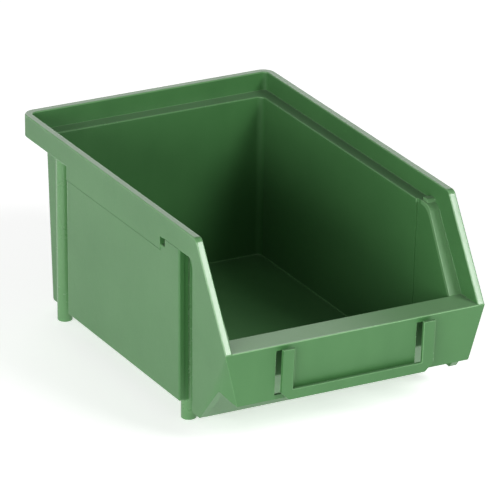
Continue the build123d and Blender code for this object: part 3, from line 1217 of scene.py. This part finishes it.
@dataclass
class CornerPosts:
    """The four round posts that run down the tub's corners and end as feet."""

    sizes: BinSizes
    foot_round: float = 0.45
    swell: float = 0.15
    front_shift: float = 0.9
    facets: int = 40
    bite: float = 0.8
    lap: float = 0.5
    nodes: tuple[str, ...] = (*pair("foot_front"), *pair("foot_rear"))

    def turned(self, radius: float, top: float) -> bpy.types.Object:
        """One post, turned from half of its outline, in millimetres."""
        made = bmesh.new()
        line = rounded([(0.0, 0.0), (radius, 0.0), (radius, top), (0.0, top)], {1: self.foot_round})
        verts = [made.verts.new((x, 0, z)) for x, z in line]
        for first, second in zip(verts, verts[1:]):
            made.edges.new((first, second))
        bmesh.ops.spin(made, geom=verts + made.edges[:], cent=(0, 0, 0), axis=(0, 0, 1),
                       angle=math.tau, steps=self.facets, use_merge=True)
        bmesh.ops.remove_doubles(made, verts=made.verts[:], dist=WELD)
        return placed("post", Block.from_bmesh(made).mesh)

    def tree(self) -> bpy.types.NodeTree:
        """A tree that stands one post on each given point."""
        tree = bpy.data.node_groups.new("stand_posts", "GeometryNodeTree")
        for name, way, kind in (
            ("Geometry", "INPUT", "Geometry"), ("Post", "INPUT", "Object"),
            ("Height", "INPUT", "Float"), ("Material", "INPUT", "Material"),
            ("Geometry", "OUTPUT", "Geometry"),
        ):
            tree.interface.new_socket(name, in_out=way, socket_type=f"NodeSocket{kind}")
        given, post, stand, stretch, real, paint, result = (tree.nodes.new(kind) for kind in (
            "NodeGroupInput", "GeometryNodeObjectInfo", "GeometryNodeInstanceOnPoints",
            "ShaderNodeCombineXYZ", "GeometryNodeRealizeInstances", "GeometryNodeSetMaterial",
            "NodeGroupOutput",
        ))
        for way in ("X", "Y"):
            stretch.inputs[way].default_value = 1.0
        for source, output, target, socket in (
            (given, "Geometry", stand, "Points"), (given, "Post", post, "Object"),
            (given, "Height", stretch, "Z"), (post, "Geometry", stand, "Instance"),
            (stretch, "Vector", stand, "Scale"), (stand, "Instances", real, "Geometry"),
            (real, "Geometry", paint, "Geometry"), (given, "Material", paint, "Material"),
            (paint, "Geometry", result, "Geometry"),
        ):
            tree.links.new(source.outputs[output], target.inputs[socket])
        return tree

    def build(self, tub: Tub, plastic: Plastic) -> bpy.types.Object:
        """Stands the posts, fits them to the tub's sides and dresses them."""
        s = self.sizes
        boxes = [(low(node), high(node)) for node in self.nodes]
        radius = (boxes[0][1].y - boxes[0][0].y) / 2 + self.swell
        spots = []
        for start, end in boxes:
            hand = 1 if end.x > 0 else -1
            outer = end.x if hand > 0 else start.x
            middle = (start.y + end.y) / 2
            shift = self.front_shift if middle < 0 else 0.0
            spots.append((outer - hand * radius, middle + shift, 0.0))
        post = self.turned(radius, s.rim_bottom)
        mesh = bpy.data.meshes.new("posts")
        mesh.from_pydata(spots, [], [])
        holder = placed("posts", mesh)
        modifier = holder.modifiers.new("stand", "NODES")
        modifier.node_group = self.tree()
        items = modifier.node_group.interface.items_tree
        sockets = {item.name: item.identifier for item in items if item.in_out == "INPUT"}
        modifier[sockets["Post"]] = post
        modifier[sockets["Height"]] = 1.0
        modifier[sockets["Material"]] = plastic.face
        made = solved(holder)
        for item in (holder, post):
            bpy.data.objects.remove(item)
        half_low = s.tub_half_at(s.floor_bottom, 0) - self.bite
        half_top = s.tub_half_at(s.ledge_top, 0) - self.bite
        core_foot = s.floor_bottom + self.lap
        core = [(-half_low, core_foot), (half_low, core_foot),
                (half_top, s.ledge_top), (-half_top, s.ledge_top)]
        block = Block(made).cut(Block.prism(core, Axis.Y, -FAR / 4, FAR / 4))
        piece = block.finish("corner_posts", 0.0)
        return dress(piece, plastic, self.nodes)


def dress(piece: bpy.types.Object, plastic: Plastic, nodes: Sequence[str]) -> bpy.types.Object:
    """Gives a piece its plastic, and its place on the frame.

    Args:
        piece: The finished object, with its live normals modifier.
        plastic: The finish of its faces and of its rounded edges.
        nodes: The CAD nodes it stands for.

    Returns:
        The piece as a plain mesh.
    """
    mesh = solved(piece)
    piece.modifiers.clear()
    piece.data = mesh
    mesh.name = piece.name
    marks = [polygon.material_index for polygon in mesh.polygons]
    mesh.materials.clear()
    for finish in (plastic.face, plastic.edge):
        mesh.materials.append(finish)
    mesh.polygons.foreach_set("material_index", marks)
    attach(piece, BODY)
    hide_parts(*nodes)
    triangles = sum(len(polygon.vertices) - 2 for polygon in mesh.polygons)
    faces = len(mesh.polygons)
    LOG.info("%s: %d faces, %d triangles, for %d nodes", piece.name, faces, triangles, len(nodes))
    return piece


# ---------------------------------------------------------------- studio


@dataclass(frozen=True)
class SoftBox:
    """One soft light: where it stands, what it faces, its size and strength."""

    name: str
    place: tuple[float, float, float]
    aim: tuple[float, float, float]
    width: float
    height: float
    power: float


@dataclass
class Studio:
    """A pale floor, soft lights and the camera."""

    azimuth: float = -27.75
    elevation: float = 22.02
    roll: float = 0.25
    camera_place: tuple[float, float, float] = (-0.8338, -1.5853, 0.7651)
    lens: float = 382.4
    sensor: float = 36.0
    sky: float = 0.22
    glow: float = 0.58
    floor_tone: float = 0.88
    floor_roughness: float = 0.8
    floor_reach: float = 3000.0
    floor_drop: float = 0.02
    floor_bottom: float = -6.0
    boxes: list[SoftBox] = field(default_factory=lambda: [
        SoftBox("left_front", (-1.3, -0.7, 0.35), (0, 0, 0.03), 1.2, 0.6, 16.0),
        SoftBox("front_right", (0.66, -1.29, 1.05), (0, 0, 0.03), 0.65, 0.5, 16.0),
        SoftBox("back_right", (0.8, 1.5, 0.7), (0, 0, 0.05), 1.2, 0.5, 4.2),
    ])

    def floor(self) -> None:
        """Lays the floor."""
        reach = self.floor_reach
        block = cuboid((-reach, -reach, self.floor_bottom), (reach, reach, -self.floor_drop))
        block.mesh.transform(Matrix.Scale(MM, 4))
        floor = placed("floor", block.mesh)
        sheet = NodeSheet("pale_floor")
        shader = sheet.node("ShaderNodeBsdfPrincipled", {}, {
            "Base Color": (*[self.floor_tone] * 3, 1), "Roughness": self.floor_roughness,
            "Emission Color": (1, 1, 1, 1), "Emission Strength": self.glow,
        })
        floor.data.materials.append(sheet.closed(shader))

    def lights(self) -> None:
        """Sets the sky and the soft boxes."""
        world = bpy.data.worlds.new("studio")
        world.use_nodes = True
        sky = world.node_tree.nodes["Background"].inputs
        sky["Color"].default_value = (1, 1, 1, 1)
        sky["Strength"].default_value = self.sky
        bpy.context.scene.world = world
        for box in self.boxes:
            data = bpy.data.lights.new(box.name, "AREA")
            data.shape = "RECTANGLE"
            data.size, data.size_y, data.energy = box.width, box.height, box.power
            light = placed(box.name, data)
            light.location = box.place
            facing = Vector(box.aim) - Vector(box.place)
            light.rotation_euler = facing.to_track_quat("-Z", "Y").to_euler()

    def camera(self) -> None:
        """Places the camera."""
        turn, lift, roll = (math.radians(x) for x in (self.azimuth, self.elevation, self.roll))
        level = math.cos(lift)
        back = Vector((math.sin(turn) * level, -math.cos(turn) * level, math.sin(lift)))
        right = (-back).cross(Vector((0, 0, 1))).normalized()
        up = right.cross(-back)
        sine, cosine = math.sin(roll), math.cos(roll)
        right, up = right * cosine + up * sine, up * cosine - right * sine
        data = bpy.data.cameras.new("camera")
        data.lens, data.sensor_width = self.lens, self.sensor
        data.clip_start, data.clip_end = 0.1, 20.0
        camera = placed("camera", data)
        pose = Matrix((right, up, back)).transposed().to_4x4()
        camera.matrix_world = Matrix.Translation(self.camera_place) @ pose
        bpy.context.scene.camera = camera

    def build(self) -> None:
        """Sets up the whole studio."""
        self.floor()
        self.lights()
        self.camera()
        bpy.context.scene.view_settings.view_transform = "Standard"
        LOG.info("studio: %d soft boxes", len(self.boxes))


def main() -> None:
    """Builds the bin and its studio."""
    logging.basicConfig(level=logging.INFO, format="%(name)s %(message)s")
    sizes = BinSizes.from_frame()
    plastic = Plastic.moulded(sizes)
    open_front = OpenFront(sizes)
    tub = Tub(sizes)
    tub.build(open_front, plastic)
    # The frame's finish also paints a highlight on the lip's top.
    StackingFrame(sizes).build(tub, open_front, Plastic.moulded(sizes, "handled", LIP_PAINTED_HIGHLIGHT))
    LabelHolder(sizes).build(plastic)
    CornerPosts(sizes).build(tub, plastic)
    Studio().build()


if __name__ == "__main__":
    main()
